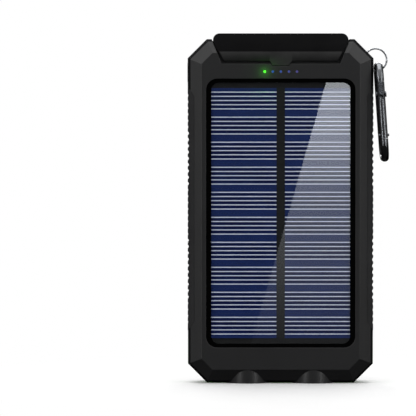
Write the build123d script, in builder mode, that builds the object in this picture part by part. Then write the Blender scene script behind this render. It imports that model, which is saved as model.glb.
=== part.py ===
"""Solar phone charger with a double torch, standing on its torch end.

Frame: +Z along the long axis from the torch end to the port end, +X to the right,
-Y out of the solar panel. The origin is the middle of the torch end's standing plane.
"""
from build123d import *
import math
import os

os.makedirs("parts", exist_ok=True)

# ------------------------------------------------------------------ driving dimensions (mm)
BODY_W = 75.0            # across the mid-frame
BODY_L = 138.9           # torch end to port end, without the port cover
BODY_T = 19.5            # front face to rear face
CORNER = 7.7             # leg of the 45 degree corners, in front view
SHELL_STEP = 0.1         # the shells and green band stand back this far from the upper frame
WALL_HALF = 7.25         # half the height of the side wall
WALL_DRAFT = 1.0         # the wall leans in by this from the mid-frame to the bevel
BEVEL_IN = 5.5           # from the widest outline to the edge of the flat face
REAR_FOOT = 5.3          # extra run of the rear bevel at the torch end
FRONT = 1                # extrusion sense on Plane.XZ: towards -Y
REAR = -1

CAVITY_INSET = 3.0       # cavity outline, measured in from the mid-frame
CAVITY_HALF = 6.0        # half depth of the wide part of the cavity
DEEP_INSET = 5.2         # outline of the cavity's deeper step
DEEP_FRONT = 7.75
DEEP_REAR = 7.6

# mid-frame: green band, black upper frame
BAND_HALF = 4.6          # half width of the mid-frame strip
BAND_DEEP = 1.7          # its thickness
BAND_END = 18.4          # how far the green band climbs the long sides
FRAME_LOW = 119.6        # lower end of the upper frame

# torch
BOSS_X = 13.3
BOSS_R = 9.7
BOSS_H = 11.5
DISC_R = 9.05
DISC_FILLET = 1.6
LENS_R = 7.3
BORE_R = 7.6
BORE_DEEP = 9.7
TORCH_X = (-BOSS_X, BOSS_X)

# side grips
GRIP_LOW = 21.2
GRIP_SLANT = 3.6         # length of the slanted ends
GRIP_REACH = 2.6         # reach of the grip onto each bevel
GRIP_PROUD = 0.15
RIDGE_PITCH = 2.55
RIDGE_COUNT = 37
GROOVE_R = 0.95
DEEP_ZONES = ((33.8, 60.0), (79.3, 102.3))

# solar panel
PANEL_Z = 68.75
OPENING_W, OPENING_L, OPENING_R = 60.1, 108.4, 4.5
PANEL_W, PANEL_L, PANEL_R = 56.0, 105.3, 3.0
OPENING_DEEP = 2.6
TRAY_MARGIN = 1.2
WIRE_HOLE_X, WIRE_HOLE_Z, WIRE_HOLE_R = -20.0, 116.0, 2.0
BOARD_T = 1.0
CELL_T = 0.2
CELL_W, CELL_L, CELL_PITCH = 26.3, 10.0, 10.09
CELL_X = 14.85
CELL_ROWS = 10
WINDOW_FACE = 9.45       # |y| of the window's outer face
GASKET_FACE = 9.25

# charge indicators
LIGHT_Z = 125.8
LIGHT_PITCH = 3.25
LIGHT_R = 0.5

# port cover and its seat
COVER_FOOT = 130.05
COVER_HALF = 23.3        # half width at its foot
COVER_FLARE = 0.5        # half width gained per mm of height
COVER_SLOPE = 0.47       # how fast its upper part leans back
SEAT_FLARE = 0.4         # the same gain for the seat in the shells
COVER_TOP = 141.2
COVER_ROUND = 2.6
COVER_BREAK = 134.0      # where the front strip turns into the slope
SEAT_GAP = 1.0
SEAT_FOOT = 128.95
SEAT_FLOOR = 7.4         # |y| of the seat's floor behind the front strip
SEAT_REAR = 5.9
DECK_Z = 136.5
DECK_T = 1.9
CAVITY_TOP = DECK_Z - DECK_T
DECK_HALF = 28.6
TAB_FOOT = 128.2
TAB_TOP_HALF, TAB_FOOT_HALF = 4.45, 3.15
TAB_T = 1.0
TAB_GAP = 0.2
ANCHOR_HALF = 9.0
ANCHOR_LOW = 133.2
ANCHOR_FRONT = 6.3

# sockets and main board
USB_X = 15.0
USB_W, USB_H, USB_DEEP, USB_WALL = 13.2, 5.8, 14.0, 0.33
USB_Y = -0.6
USB_MOUTH = 136.2
MICRO_W, MICRO_H, MICRO_DEEP, MICRO_WALL = 7.5, 2.6, 5.6, 0.3
PORT_GAP = 0.2
USB_PLUG_HALF, MICRO_PLUG_HALF = 4.5, 3.0      # half widths of the cover's plugs
BLOCK_W, BLOCK_H, BLOCK_T = 12.4, 5.0, 2.5     # moulded block at the back of a USB socket
TONGUE_HALF, TONGUE_LOW, TONGUE_HIGH = 5.55, 0.5, 2.3
MICRO_TONGUE_HALF, MICRO_TONGUE_T = 1.9, 0.6
PCB_T = 1.2
PCB_FRONT = USB_Y + USB_H / 2
PCB_HALF = 27.5
PCB_LOW, PCB_HIGH = 104.0, 134.2
POST_X, POST_LOW_Z, POST_HIGH_Z = 24.5, 107.5, 119.5
POST_R, PILOT_R = 2.2, 0.8
SCREW_L, SCREW_HEAD_T, SCREW_SLOT_DEEP = 4.2, 1.1, 0.5
CHIPS = ((-8, 115, 5), (4, 113, 4), (13, 116, 4))    # x, z and width of each
CHIP_T = 1.0
INDUCTOR_X, INDUCTOR_Z, INDUCTOR_W, INDUCTOR_T = 19.0, 109.5, 6.6, 3.0
SMALL_CAP_X, SMALL_CAP_PITCH, SMALL_CAP_Z, SMALL_CAP_H = -17.0, 4.2, 119.2, 0.8
LARGE_CAP_XS, LARGE_CAP_HALF, LARGE_CAP_Z, LARGE_CAP_H = (-3, 9), 1.6, 106.2, 1.8

# power button
BUTTON_Z = 125.5
BUTTON_L, BUTTON_W = 8.0, 4.0
BUTTON_GAP = 0.15
BUTTON_RIM = 0.7
BUTTON_RIM_T = 0.8
BUTTON_PROUD = 0.1
PLUNGER_R, PLUNGER_TIP = 1.2, 0.7
SWITCH_X = -32.2
SWITCH_HALF, SWITCH_FRONT, SWITCH_CAP_R, SWITCH_CAP_T = 2.2, -1.7, 0.9, 0.8

# lanyard post, ring and carabiner
RING_X, RING_Z = 38.52, 130.6
RING_R = 4.55
WIRE_W, WIRE_T = 1.0, 1.2
RING_OFFSET, RING_REST = 2.9, -8.5
POST_PIN_R, POST_PIN_L = 1.0, 7.0
POCKET_R, POCKET_W = 6.0, 2.0
HANG_X, HANG_Z = 39.7, 126.2
LEAN = 4.0               # degrees the carabiner leans away from the body
BAR_TOP, BAR_BOTTOM = 2.2, -35.5
BAR_SIDE = 9.1
BAR_A, BAR_B = 1.6, 1.4  # half sizes of the bar: across the loop's plane and in it
GATE_TOP, GATE_PIVOT, GATE_NOSE = -4.4, -9.6, -27.3
GATE_GAP = 0.15
TANG_T, TANG_HALF = 1.3, 1.2
TANG_GAP = 0.15
TANG_ROOT = 0.8          # how far the tang runs into the fixed bar
SLOT_DROP = 2.0          # how far the gate's slot runs below its pivot
RIVET_R, RIVET_HEAD_R, RIVET_PLAY, RIVET_PROUD = 0.6, 1.15, 0.05, 0.5
PIN_R, PIN_RISE = 0.55, 1.3    # latch pin across the gate's nose
SPRING_BORE_R, SPRING_R, SPRING_INNER_R = 0.85, 0.8, 0.45
SPRING_FOOT, SPRING_HEAD, SPRING_BORE_HEAD = 9.0, 2.4, 1.0    # distances below the pivot
LOOP_TOP_R, LOOP_FOOT_R = 5.6, 6.5

# battery
CELL_PACK_W, CELL_PACK_L, CELL_PACK_T = 62.0, 84.0, 5.0
PACK_LOW = 15.0
PACK_FRONT_Y, PACK_REAR_Y = -3.0, 2.5
TERRACE_HALF, TERRACE_THIN, TERRACE_H = 12.0, 0.6, 0.4
FRONT_PAD_HALF, FRONT_PAD_LOW, FRONT_PAD_HIGH = 22.0, 25.0, 90.0
REAR_PAD_HALF, REAR_PAD_LOW, REAR_PAD_HIGH = 20.0, 30.0, 88.0
GUARD_HALF, GUARD_THIN, GUARD_H = 15.0, 0.4, 3.6    # the cells' protection board

# wiring
WIRE_R = 0.5
BATTERY_WIRE_XS = (-6, 7)
SOLAR_WIRE_XS = (-21, -19)
SOLAR_WIRE_Y, SOLAR_WIRE_FOOT = -3.0, 112.0
TORCH_WIRE_X, TORCH_WIRE_OUT, TORCH_WIRE_IN = 24.0, 32.8, 27.0
TORCH_WIRE_ROUTES = ((-1.6, 105.4), (0.0, 107.0))    # y and upper level of each

# torch optics
TORCH_BOARD_Z = BORE_DEEP + 0.1
TORCH_BOARD_HALF_X, TORCH_BOARD_HALF_Y = 27.0, 6.0
EMITTER_HALF, EMITTER_T, DOME_R = 1.75, 0.8, 1.3
REFLECTOR_RIM, REFLECTOR_FLANGE = 2.2, 0.8
BOWL_MOUTH, BOWL_WAIST, BOWL_NECK = 6.6, 5.2, 2.6
NECK_OUT, WAIST_OUT, MOUTH_OUT, FLANGE_OUT = 3.4, 5.9, 7.1, 7.5
WAIST_Z, WAIST_OUT_Z = 6.4, 6.6
LENS_TIP, LENS_RIM, LENS_BACK = 0.1, 0.55, 1.6
SEAL_W = 0.7


# ------------------------------------------------------------------ shared outlines
def octagon(plane, inset, foot=0.0, head=0.0):
    """Body outline drawn in by inset; foot raises its torch end, head lowers its port end."""
    low = inset + foot
    high = BODY_L - inset - head
    with BuildSketch(plane) as outline:
        with Locations((0, (low + high) / 2)):
            Rectangle(BODY_W - 2 * inset, high - low)
        chamfer(outline.vertices(), CORNER - inset * (2 - math.sqrt(2)))
    return outline.sketch


def trapezoid(plane, foot_z, foot_half, top_z, top_half):
    """Upright symmetrical trapezoid between two levels."""
    with BuildSketch(plane) as shape:
        with BuildLine():
            Polyline(
                (-foot_half, foot_z), (foot_half, foot_z), (top_half, top_z), (-top_half, top_z),
                close=True,
            )
        make_face()
    return shape.sketch


def flared(plane, foot_z, top_z, gap, flare):
    """Outline of the port cover, or of its seat when gap is above zero."""
    foot_half = COVER_HALF + gap + (foot_z - COVER_FOOT) * flare
    top_half = COVER_HALF + gap + (top_z - COVER_FOOT) * flare
    return trapezoid(plane, foot_z, foot_half, top_z, top_half)


def add_box(x_range, y_range, z_range, mode=Mode.ADD):
    """A box given by its limits on the three axes."""
    sizes = [high - low for low, high in (x_range, y_range, z_range)]
    middle = [(low + high) / 2 for low, high in (x_range, y_range, z_range)]
    with Locations(tuple(middle)):
        Box(*sizes, mode=mode)


def add_rod(start, end, radius, mode=Mode.ADD):
    """A round rod between two points."""
    run = Vector(*end) - Vector(*start)
    with BuildSketch(Plane(origin=start, z_dir=run)) as section:
        Circle(radius)
    extrude(section.sketch, amount=run.length, mode=mode)


def add_wire(points, radii):
    """A round wire of straight runs joined by tangent arcs."""
    with BuildLine() as route:
        FilletPolyline(*points, radius=radii)
    with BuildSketch(Plane(origin=route.line @ 0, z_dir=route.line % 0)) as section:
        Circle(WIRE_R)
    sweep(section.sketch, path=route.line)


def finish(part, label):
    """Label a finished piece and write it out."""
    part.label = label
    export_step(part, f"parts/{label}.step")


# ------------------------------------------------------------------ mid-frame
with BuildPart() as band_blank:
    extrude(octagon(Plane.XZ, SHELL_STEP), amount=BAND_HALF, both=True)
    extrude(octagon(Plane.XZ, BAND_DEEP), amount=BAND_HALF, both=True, mode=Mode.SUBTRACT)
    split(bisect_by=Plane.XY.offset(BAND_END), keep=Keep.BOTTOM)
    with BuildSketch(Plane.XY) as plate:
        Rectangle(BODY_W - 2 * CORNER, 2 * BAND_HALF)
        with Locations(*[(x, 0) for x in TORCH_X]):
            Circle(DISC_R)
        inner = plate.vertices().filter_by(lambda v: abs(v.X) < BODY_W / 2 - CORNER - 1)
        fillet(inner, DISC_FILLET)
    extrude(plate.sketch, amount=BAND_DEEP)

with BuildPart() as accent_band:
    add(band_blank.part)
    for x in TORCH_X:
        add_rod((x, 0, -1), (x, 0, BAND_DEEP + 1), LENS_R, mode=Mode.SUBTRACT)
finish(accent_band.part, "accent_band")

pocket_angle = math.radians(RING_REST)
post_x = RING_X - RING_OFFSET * math.cos(pocket_angle)
post_z = RING_Z - RING_OFFSET * math.sin(pocket_angle)
block_inner = DECK_HALF
block_low = post_z - POCKET_R - 1.5
left_block_low = BUTTON_Z + BUTTON_L / 2 + 2
side_inner = BODY_W / 2 - BAND_DEEP

with BuildPart() as frame_blank:
    extrude(octagon(Plane.XZ, 0), amount=BAND_HALF, both=True)
    split(bisect_by=Plane.XY.offset(FRAME_LOW), keep=Keep.TOP)
    add_box((-side_inner, side_inner), (-BODY_T, BODY_T), (0, block_low), mode=Mode.SUBTRACT)
    add_box((-side_inner, block_inner), (-BODY_T, BODY_T), (0, left_block_low), mode=Mode.SUBTRACT)
    add_box((-block_inner, block_inner), (-BODY_T, BODY_T), (0, CAVITY_TOP), mode=Mode.SUBTRACT)
    deck_cut = flared(Plane.XZ, DECK_Z, COVER_TOP, SEAT_GAP, SEAT_FLARE)
    extrude(deck_cut, amount=BODY_T, both=True, mode=Mode.SUBTRACT)


def stadium_at(x, length, width):
    """Upright stadium on a plane facing -X."""
    with BuildSketch(Plane(origin=(x, 0, BUTTON_Z), x_dir=(0, 0, 1), z_dir=(-1, 0, 0))) as shape:
        SlotOverall(length, width)
    return shape.sketch


with BuildPart() as upper_frame:
    add(frame_blank.part)
    for x in (-USB_X, USB_X):
        half = USB_W / 2 + PORT_GAP
        add_box(
            (x - half, x + half),
            (USB_Y - USB_H / 2 - PORT_GAP, PCB_FRONT + PORT_GAP),
            (0, BODY_L),
            mode=Mode.SUBTRACT,
        )
    add_box(
        (-MICRO_W / 2 - PORT_GAP, MICRO_W / 2 + PORT_GAP),
        (PCB_FRONT - MICRO_H - PORT_GAP, PCB_FRONT + PORT_GAP),
        (0, BODY_L),
        mode=Mode.SUBTRACT,
    )
    add_rod(
        (post_x, -POCKET_W / 2, post_z), (post_x, POCKET_W / 2, post_z), POCKET_R, mode=Mode.SUBTRACT
    )
    add_rod(
        (post_x, -POST_PIN_L / 2, post_z),
        (post_x, POST_PIN_L / 2, post_z),
        POST_PIN_R,
        mode=Mode.SUBTRACT,
    )
    extrude(
        stadium_at(-BODY_W / 2 + BAND_DEEP + 1, BUTTON_L + 2 * BUTTON_GAP, BUTTON_W + 2 * BUTTON_GAP),
        amount=2 * BAND_DEEP,
        mode=Mode.SUBTRACT,
    )
finish(upper_frame.part, "upper_frame")

# ------------------------------------------------------------------ side grips
side = BODY_W / 2
bevel_slope = (BODY_T / 2 - WALL_HALF) / (BEVEL_IN - WALL_DRAFT)
rim_x = side - SHELL_STEP - WALL_DRAFT
reach_x = side - GRIP_REACH
reach_y = WALL_HALF + (rim_x - reach_x) * bevel_slope + GRIP_PROUD

with BuildPart() as grip_blank:
    with BuildSketch(Plane.XY.offset(GRIP_LOW)) as section:
        with BuildLine():
            Polyline(
                (side_inner, -WALL_HALF + 0.6), (reach_x, -WALL_HALF - 0.1), (reach_x, -reach_y),
                (rim_x + GRIP_PROUD, -WALL_HALF), (side, -BAND_HALF), (side, BAND_HALF),
                (rim_x + GRIP_PROUD, WALL_HALF), (reach_x, reach_y),
                (reach_x, WALL_HALF + 0.1), (side_inner, WALL_HALF - 0.6),
                close=True,
            )
        make_face()
    extrude(section.sketch, amount=FRAME_LOW - GRIP_LOW)
    with BuildSketch(Plane.XZ) as ends:
        with BuildLine():
            Polyline(
                (side, GRIP_LOW), (side, FRAME_LOW), (reach_x, FRAME_LOW - GRIP_SLANT),
                (reach_x - GRIP_REACH, FRAME_LOW - GRIP_SLANT), (reach_x - GRIP_REACH, GRIP_LOW + GRIP_SLANT),
                (reach_x, GRIP_LOW + GRIP_SLANT),
                close=True,
            )
        make_face()
    extrude(ends.sketch, amount=BODY_T, both=True, mode=Mode.INTERSECT)

with BuildPart() as grip_right:
    add(grip_blank.part)
    for i in range(RIDGE_COUNT):
        z = GRIP_LOW + RIDGE_PITCH * (i + 1.25)
        bold = any(low < z < high for low, high in DEEP_ZONES)
        lift = GROOVE_R - (0.45 if bold else 0.22)
        add_rod((side + lift, -BODY_T, z), (side + lift, BODY_T, z), GROOVE_R, mode=Mode.SUBTRACT)
finish(grip_right.part, "grip_right")

with BuildPart() as grip_left:
    mirror(grip_right.part, about=Plane.YZ)
finish(grip_left.part, "grip_left")


# ------------------------------------------------------------------ shells
def add_half_body(sense):
    """One half of the body: drafted wall, bevel up to the flat face, and the torch bosses."""
    foot = REAR_FOOT if sense == REAR else 0
    waist = octagon(Plane.XZ.offset(sense * BAND_HALF), SHELL_STEP)
    rim = octagon(Plane.XZ.offset(sense * WALL_HALF), SHELL_STEP + WALL_DRAFT)
    face = octagon(Plane.XZ.offset(sense * BODY_T / 2), SHELL_STEP + BEVEL_IN, foot)
    extrude(octagon(Plane.XZ, SHELL_STEP), amount=sense * BAND_HALF)
    loft([waist, rim], ruled=True)
    loft([rim, face], ruled=True)
    with BuildSketch(Plane.XY) as discs:
        with Locations(*[(x, 0) for x in TORCH_X]):
            Circle(BOSS_R)
        with Locations((0, -sense * BODY_T / 2)):
            Rectangle(BODY_W, BODY_T, mode=Mode.INTERSECT)
    extrude(discs.sketch, amount=BOSS_H)


def cut_cavity(sense, deep):
    """Hollow of one shell: a wide part at the parting plane and a narrower deep part."""
    wide = octagon(Plane.XZ, CAVITY_INSET, head=BODY_L - CAVITY_INSET - CAVITY_TOP)
    narrow = octagon(Plane.XZ, DEEP_INSET, head=BODY_L - DEEP_INSET - SEAT_FOOT + TAB_T)
    extrude(wide, amount=sense * CAVITY_HALF, mode=Mode.SUBTRACT)
    extrude(narrow, amount=sense * deep, mode=Mode.SUBTRACT)
    for x in TORCH_X:
        add_rod((x, 0, -1), (x, 0, BORE_DEEP), BORE_R, mode=Mode.SUBTRACT)


def cut_frame_seats():
    """Seats for the band, the upper frame, both grips, the button's rim and the port deck."""
    add(band_blank.part, mode=Mode.SUBTRACT)
    add(frame_blank.part, mode=Mode.SUBTRACT)
    add(grip_blank.part, mode=Mode.SUBTRACT)
    mirror(grip_blank.part, about=Plane.YZ, mode=Mode.SUBTRACT)
    well = BUTTON_L / 2 + 2 * BUTTON_RIM
    add_box(
        (-BODY_W / 2 + SHELL_STEP, -BODY_W / 2 + CAVITY_INSET + 1),
        (-BUTTON_W / 2 - 2 * BUTTON_RIM, BUTTON_W / 2 + 2 * BUTTON_RIM),
        (BUTTON_Z - well, BUTTON_Z + well),
        mode=Mode.SUBTRACT,
    )
    deck = flared(Plane.XZ.offset(-SEAT_REAR), DECK_Z, BODY_L + 1, SEAT_GAP, SEAT_FLARE)
    extrude(deck, amount=SEAT_REAR + BODY_T, mode=Mode.SUBTRACT)


with BuildPart() as front_shell:
    add_half_body(FRONT)
    cut_cavity(FRONT, DEEP_FRONT)
    # tray that carries the solar panel
    with BuildSketch(Plane.XZ.offset(CAVITY_HALF)) as tray:
        with Locations((0, PANEL_Z)):
            RectangleRounded(OPENING_W + 2 * TRAY_MARGIN, OPENING_L + 2 * TRAY_MARGIN, OPENING_R)
    extrude(tray.sketch, amount=DEEP_FRONT - CAVITY_HALF)
    with BuildSketch(Plane.XZ.offset(BODY_T / 2 - OPENING_DEEP)) as opening:
        with Locations((0, PANEL_Z)):
            RectangleRounded(OPENING_W, OPENING_L, OPENING_R)
    extrude(opening.sketch, amount=OPENING_DEEP, mode=Mode.SUBTRACT)
    cut_frame_seats()
    window = flared(Plane.XZ.offset(SEAT_FLOOR), SEAT_FOOT, BODY_L + 1, SEAT_GAP, SEAT_FLARE)
    extrude(window, amount=BODY_T, mode=Mode.SUBTRACT)
    tab_seat = trapezoid(
        Plane.XZ.offset(BODY_T / 2 - TAB_T - TAB_GAP),
        TAB_FOOT - TAB_GAP, TAB_FOOT_HALF + TAB_GAP, COVER_FOOT, TAB_TOP_HALF + TAB_GAP,
    )
    extrude(tab_seat, amount=BODY_T, mode=Mode.SUBTRACT)
    # holes of the charge indicators, and the panel's wire hole in the tray
    for i in range(5):
        x = (i - 2) * LIGHT_PITCH
        add_rod((x, -BODY_T, LIGHT_Z), (x, -CAVITY_HALF, LIGHT_Z), LIGHT_R, mode=Mode.SUBTRACT)
    add_rod(
        (WIRE_HOLE_X, -BODY_T / 2 + 1, WIRE_HOLE_Z),
        (WIRE_HOLE_X, -CAVITY_HALF + 1, WIRE_HOLE_Z),
        WIRE_HOLE_R,
        mode=Mode.SUBTRACT,
    )
finish(front_shell.part, "front_shell")

# rear face: recess, ribbed zones, side channels
RECESS_HALF = 24.6
RECESS_LOW, RECESS_HIGH = 17.0, 96.0
RECESS_DEEP = 0.5
ZONE_DEEP = 1.1
ZONE_CLIP_X, ZONE_CLIP_Z = 6.0, 5.4
ZONE_LOW, ZONE_SHOULDER, ZONE_CROWN = 17.6, 35.3, 38.8
RIB_PITCH, RIB_W, RIB_H = 1.5, 0.75, 0.75
ZONE_MIRROR_Z = 56.4
CHANNEL_IN, CHANNEL_OUT, CHANNEL_DEEP = 27.2, 29.4, 0.35
CHANNEL_LOW, CHANNEL_HIGH = 14.0, 126.0
VENT_IN, VENT_OUT, VENT_LOW, VENT_HIGH, VENT_DEEP = 28.0, 29.9, 15.4, 44.4, 1.3
STEP_FOOT_HALF, STEP_TOP_HALF, STEP_TOP, STEP_DEEP = 26.0, 11.5, 14.6, 0.35
zone_half = RECESS_HALF - 0.6


def rib_zone(depth, flip):
    """Zone with clipped corners at one end and a bulged edge at the other; flip turns it over."""
    def level(z):
        return 2 * ZONE_MIRROR_Z - z if flip else z

    with BuildSketch(Plane.XZ.offset(-depth)) as zone:
        with BuildLine():
            Polyline(
                (zone_half, level(ZONE_SHOULDER)),
                (zone_half, level(ZONE_LOW + ZONE_CLIP_Z)),
                (zone_half - ZONE_CLIP_X, level(ZONE_LOW)),
                (-zone_half + ZONE_CLIP_X, level(ZONE_LOW)),
                (-zone_half, level(ZONE_LOW + ZONE_CLIP_Z)),
                (-zone_half, level(ZONE_SHOULDER)),
            )
            ThreePointArc(
                (-zone_half, level(ZONE_SHOULDER)), (0, level(ZONE_CROWN)), (zone_half, level(ZONE_SHOULDER))
            )
        make_face()
    return zone.sketch


with BuildPart() as anchor_blank:
    add_half_body(REAR)
    add_box(
        (-ANCHOR_HALF, ANCHOR_HALF), (ANCHOR_FRONT, BODY_T / 2), (ANCHOR_LOW, BODY_L), mode=Mode.INTERSECT
    )
finish(anchor_blank.part, "cover_anchor")

with BuildPart() as rear_shell:
    add_half_body(REAR)
    cut_cavity(REAR, DEEP_REAR)
    cut_frame_seats()
    add(anchor_blank.part, mode=Mode.SUBTRACT)
    rear_y = BODY_T / 2
    add_box(
        (-RECESS_HALF, RECESS_HALF), (rear_y - RECESS_DEEP, rear_y), (RECESS_LOW, RECESS_HIGH),
        mode=Mode.SUBTRACT,
    )
    for flip in (False, True):
        extrude(rib_zone(rear_y - ZONE_DEEP, flip), amount=-ZONE_DEEP, mode=Mode.SUBTRACT)
        with BuildSketch(Plane.XZ.offset(-(rear_y - ZONE_DEEP))) as ribs:
            with Locations((0, ZONE_MIRROR_Z)):
                with GridLocations(RIB_PITCH, 1, int(2 * zone_half / RIB_PITCH), 1):
                    Rectangle(RIB_W, 2 * ZONE_MIRROR_Z)
            add(rib_zone(rear_y - ZONE_DEEP, flip), mode=Mode.INTERSECT)
        extrude(ribs.sketch, amount=-RIB_H)
    for sign in (-1, 1):
        add_box(
            tuple(sorted((sign * CHANNEL_IN, sign * CHANNEL_OUT))),
            (rear_y - CHANNEL_DEEP, rear_y),
            (CHANNEL_LOW, CHANNEL_HIGH),
            mode=Mode.SUBTRACT,
        )
    add_box(
        (-VENT_OUT, -VENT_IN), (rear_y - VENT_DEEP, rear_y), (VENT_LOW, VENT_HIGH), mode=Mode.SUBTRACT
    )
    step = trapezoid(
        Plane.XZ.offset(-(rear_y - STEP_DEEP)), 0, STEP_FOOT_HALF + STEP_TOP, STEP_TOP, STEP_TOP_HALF
    )
    extrude(step, amount=-1, mode=Mode.SUBTRACT)
    # posts for the main board's screws
    for x in (-POST_X, POST_X):
        for z in (POST_LOW_Z, POST_HIGH_Z):
            add_rod((x, PCB_FRONT + PCB_T, z), (x, DEEP_REAR + 0.5, z), POST_R)
            add_rod((x, 0, z), (x, DEEP_REAR, z), PILOT_R, mode=Mode.SUBTRACT)
finish(rear_shell.part, "rear_shell")

# ------------------------------------------------------------------ port cover
COVER_REAR, COVER_LIP_Y = 5.6, 7.0
COVER_UNDER, COVER_LIP_Z = 136.7, 138.8
SKIRT_IN = 7.65
COVER_WALL = 1.8
PLUG_DEEP_Z = 134.6
PLUG_Y = (-1.9, -0.6)
MICRO_PLUG_Y = (PCB_FRONT - 2.2, PCB_FRONT - 0.8)
slope_run = (COVER_TOP - COVER_BREAK) * COVER_SLOPE

with BuildPart() as port_cover:
    with BuildSketch(Plane.YZ) as profile:
        with BuildLine():
            Polyline(
                (-BODY_T / 2, COVER_FOOT), (-BODY_T / 2, COVER_BREAK),
                (-BODY_T / 2 + slope_run, COVER_TOP), (COVER_LIP_Y - 1, COVER_TOP),
                (COVER_LIP_Y, COVER_TOP - 1), (COVER_LIP_Y, COVER_LIP_Z), (COVER_REAR, COVER_LIP_Z),
                (COVER_REAR, COVER_UNDER), (-SKIRT_IN, COVER_UNDER), (-SKIRT_IN, COVER_FOOT),
                close=True,
            )
        make_face()
    extrude(profile.sketch, amount=BODY_W / 2, both=True)
    with BuildSketch(Plane.XZ) as outline:
        add(flared(Plane.XY, COVER_FOOT, COVER_TOP, 0, COVER_FLARE))
        fillet(outline.vertices().group_by(Axis.Y)[-1], COVER_ROUND)
    extrude(outline.sketch, amount=BODY_T, both=True, mode=Mode.INTERSECT)
    add_box(
        (-COVER_HALF, COVER_HALF),
        (-SKIRT_IN + COVER_WALL, COVER_REAR - COVER_WALL),
        (COVER_UNDER, COVER_TOP - COVER_WALL),
        mode=Mode.SUBTRACT,
    )
    for x in (-USB_X, USB_X):
        add_box((x - USB_PLUG_HALF, x + USB_PLUG_HALF), PLUG_Y, (PLUG_DEEP_Z, COVER_TOP - COVER_WALL))
    add_box(
        (-MICRO_PLUG_HALF, MICRO_PLUG_HALF), MICRO_PLUG_Y, (USB_MOUTH + 0.2, COVER_TOP - COVER_WALL)
    )
    tab = trapezoid(
        Plane.XZ.offset(BODY_T / 2 - TAB_T), TAB_FOOT, TAB_FOOT_HALF, COVER_FOOT, TAB_TOP_HALF
    )
    extrude(tab, amount=TAB_T)
finish(port_cover.part, "port_cover")

# ------------------------------------------------------------------ solar panel
panel_back = BODY_T / 2 - OPENING_DEEP
board_face = panel_back + BOARD_T
cell_face = board_face + CELL_T

with BuildPart() as panel_gasket:
    with BuildSketch(Plane.XZ.offset(panel_back)) as ring:
        with Locations((0, PANEL_Z)):
            RectangleRounded(OPENING_W, OPENING_L, OPENING_R)
            RectangleRounded(PANEL_W, PANEL_L, PANEL_R, mode=Mode.SUBTRACT)
    extrude(ring.sketch, amount=GASKET_FACE - panel_back)
finish(panel_gasket.part, "panel_gasket")

with BuildPart() as solar_board:
    with BuildSketch(Plane.XZ.offset(panel_back)) as sheet:
        with Locations((0, PANEL_Z)):
            RectangleRounded(PANEL_W, PANEL_L, PANEL_R)
    extrude(sheet.sketch, amount=BOARD_T)
finish(solar_board.part, "solar_board")

with BuildPart() as solar_cells:
    with BuildSketch(Plane.XZ.offset(board_face)) as strips:
        with Locations((0, PANEL_Z)):
            with GridLocations(2 * CELL_X, CELL_PITCH, 2, CELL_ROWS):
                Rectangle(CELL_W, CELL_L)
        with Locations((0, PANEL_Z)):
            RectangleRounded(PANEL_W, PANEL_L, PANEL_R, mode=Mode.INTERSECT)
    extrude(strips.sketch, amount=CELL_T)
finish(solar_cells.part, "solar_cells")

with BuildPart() as panel_window:
    with BuildSketch(Plane.XZ.offset(cell_face)) as sheet:
        with Locations((0, PANEL_Z)):
            RectangleRounded(PANEL_W, PANEL_L, PANEL_R)
    extrude(sheet.sketch, amount=WINDOW_FACE - cell_face)
finish(panel_window.part, "panel_window")

# ------------------------------------------------------------------ charge indicators
pipe_end = PCB_FRONT - 0.8


def add_light_pipe(index):
    """Light pipe from an emitter on the main board out to the front face."""
    x = (index - 2) * LIGHT_PITCH
    add_rod((x, -BODY_T / 2, LIGHT_Z), (x, pipe_end, LIGHT_Z), LIGHT_R)


with BuildPart() as indicator_pipe_green:
    add_light_pipe(0)
finish(indicator_pipe_green.part, "indicator_pipe_green")

with BuildPart() as indicator_pipes_blue:
    for i in range(1, 5):
        add_light_pipe(i)
finish(indicator_pipes_blue.part, "indicator_pipes_blue")

with BuildPart() as indicator_emitters:
    for i in range(5):
        x = (i - 2) * LIGHT_PITCH
        add_box((x - 0.8, x + 0.8), (pipe_end, PCB_FRONT), (LIGHT_Z - 0.4, LIGHT_Z + 0.4))
finish(indicator_emitters.part, "indicator_emitters")

# ------------------------------------------------------------------ main board and sockets
with BuildPart() as main_board:
    add_box((-PCB_HALF, PCB_HALF), (PCB_FRONT, PCB_FRONT + PCB_T), (PCB_LOW, PCB_HIGH))
    for x in (-POST_X, POST_X):
        for z in (POST_LOW_Z, POST_HIGH_Z):
            add_rod((x, 0, z), (x, DEEP_REAR, z), PILOT_R + 0.2, mode=Mode.SUBTRACT)
finish(main_board.part, "main_board")


def socket_shell(label, x, width, height, deep, wall):
    """Open-mouthed metal socket lying on the main board."""
    low_y = PCB_FRONT - height
    with BuildPart() as shell:
        add_box((x - width / 2, x + width / 2), (low_y, PCB_FRONT), (USB_MOUTH - deep, USB_MOUTH))
        add_box(
            (x - width / 2 + wall, x + width / 2 - wall),
            (low_y + wall, PCB_FRONT - wall),
            (USB_MOUTH - deep + 2 * wall, USB_MOUTH),
            mode=Mode.SUBTRACT,
        )
    finish(shell.part, label)


socket_shell("usb_a_left", -USB_X, USB_W, USB_H, USB_DEEP, USB_WALL)
socket_shell("usb_a_right", USB_X, USB_W, USB_H, USB_DEEP, USB_WALL)
socket_shell("micro_usb", 0, MICRO_W, MICRO_H, MICRO_DEEP, MICRO_WALL)

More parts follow.
